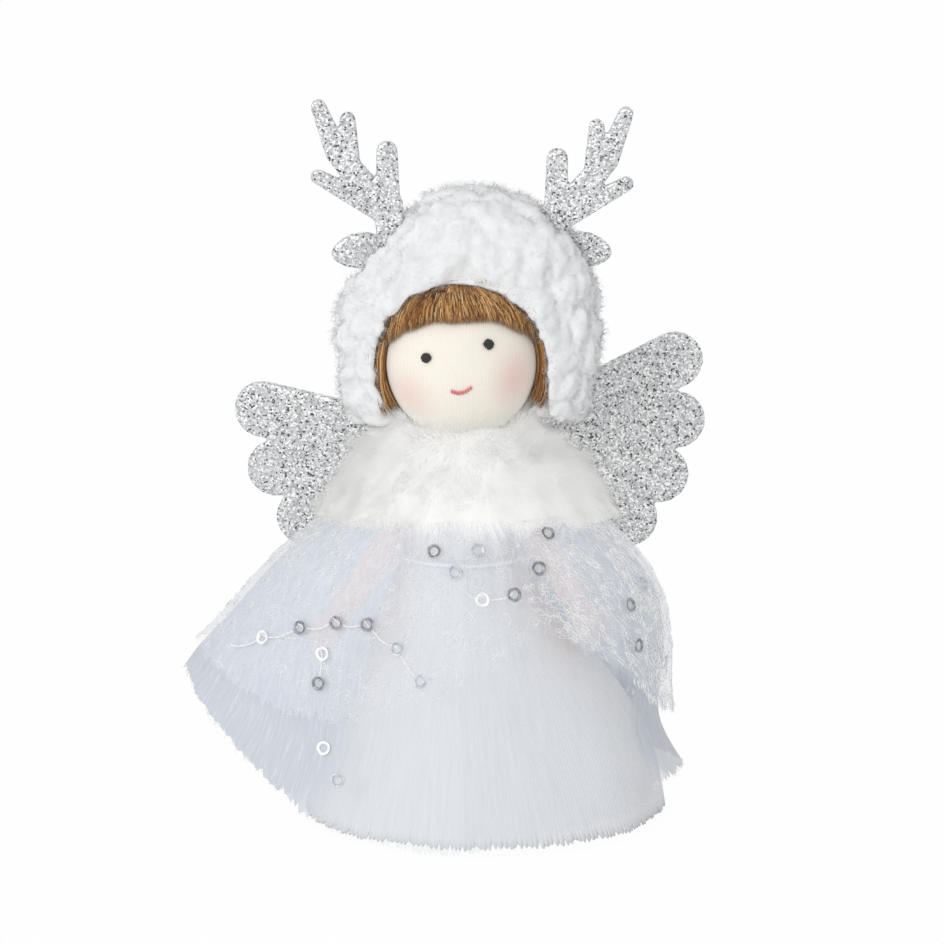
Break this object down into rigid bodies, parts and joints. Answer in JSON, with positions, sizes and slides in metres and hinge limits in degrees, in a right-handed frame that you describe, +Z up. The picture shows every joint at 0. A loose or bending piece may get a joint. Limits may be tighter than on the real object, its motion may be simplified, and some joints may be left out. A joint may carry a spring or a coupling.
{
  "type": "hanging angel ornament",
  "caption": "Soft angel doll ornament with a plush reindeer hood, glitter antlers and wings, a fur cape and tulle skirts; head, arms and wings move.",
  "frame": {"origin": "centre of the underside of the card disc that closes the body's foot", "axes": "+Z up along the neck peg, -Y the way the doll faces, +X to the viewer's right"},
  "size_m": [0.1185, 0.0793, 0.1638],
  "materials": {
    "card": "plain pressed card",
    "cotton": "plain woven cotton",
    "wadding": "loose polyester wadding",
    "peg_wood": "bare turned wood",
    "lining": "white ribbed knit",
    "thread": "white sewing thread",
    "tulle": "sheer fine tulle",
    "overlay": "sheer net with scribbled shiny threads",
    "skin_fabric": "peach woven fabric",
    "fur": "long soft white pile",
    "glitter_sheet": "silver glitter on foam sheet",
    "foam": "white foam",
    "knit": "fine cream knit with blushed cheeks",
    "eye_thread": "black embroidery thread",
    "smile_thread": "coral embroidery thread",
    "hair": "combed brown yarn",
    "plush": "lumpy white fleece plush",
    "sequin_film": "silver mirror film"
  },
  "bodies": {
    "torso": {"base_card": "card", "body_cover": "cotton", "stuffing": "wadding", "neck_peg": "peg_wood", "lining_skirt": "lining", "waist_tie": "thread", "tulle_skirt": "tulle", "sequin_overlay": "overlay", "gather_tie": "thread", "fur_cape": "fur", "wing_bridge": "glitter_sheet", "sequin_01": "sequin_film", "sequin_02": "sequin_film", "sequin_03": "sequin_film", "sequin_04": "sequin_film", "sequin_05": "sequin_film", "sequin_06": "sequin_film", "sequin_07": "sequin_film", "sequin_08": "sequin_film", "sequin_09": "sequin_film", "sequin_10": "sequin_film", "sequin_11": "sequin_film", "sequin_12": "sequin_film", "sequin_13": "sequin_film", "sequin_14": "sequin_film", "sequin_15": "sequin_film", "sequin_16": "sequin_film", "sequin_17": "sequin_film", "sequin_18": "sequin_film", "sequin_19": "sequin_film", "sequin_20": "sequin_film", "sequin_21": "sequin_film", "sequin_22": "sequin_film", "sequin_23": "sequin_film", "sequin_24": "sequin_film", "sequin_25": "sequin_film", "sequin_26": "sequin_film", "sequin_27": "sequin_film"},
    "head": {"head_ball": "foam", "face_cover": "knit", "neck_tie": "thread", "eye_left": "eye_thread", "eye_right": "eye_thread", "smile": "smile_thread", "hair_fringe": "hair", "hair_lock_left": "hair", "hair_lock_right": "hair", "antler_left": "glitter_sheet", "antler_right": "glitter_sheet", "ear_left": "glitter_sheet", "ear_right": "glitter_sheet", "hood_front": "plush", "hood_back": "plush"},
    "left_arm": {"arm_left": "skin_fabric"},
    "right_arm": {"arm_right": "skin_fabric"},
    "left_wing": {"wing_left": "glitter_sheet"},
    "right_wing": {"wing_right": "glitter_sheet"}
  },
  "joints": [
    {"name": "head_turn", "type": "hinge", "parent": "torso", "child": "head", "pos_m": [0, 0, 0.0878], "axis": [0, 0, 1], "range_deg": [-35, 35]},
    {"name": "arm_left_swing", "type": "hinge", "parent": "torso", "child": "left_arm", "pos_m": [-0.01421, -0.00888, 0.068], "axis": [1, 0, 0], "range_deg": [-15, 15]},
    {"name": "arm_right_swing", "type": "hinge", "parent": "torso", "child": "right_arm", "pos_m": [0.0143, -0.00894, 0.071], "axis": [1, 0, 0], "range_deg": [-15, 15]},
    {"name": "wing_left_flap", "type": "hinge", "parent": "torso", "child": "left_wing", "pos_m": [-0.00201, 0.02763, 0.07927], "axis": [0.1219, 0, -0.9925], "range_deg": [0, 40], "stiffness_Nm_per_rad": 0.004},
    {"name": "wing_right_flap", "type": "hinge", "parent": "torso", "child": "right_wing", "pos_m": [0.00821, 0.02763, 0.08053], "axis": [-0.1219, 0, 0.9925], "range_deg": [0, 40], "stiffness_Nm_per_rad": 0.004}
  ]
}
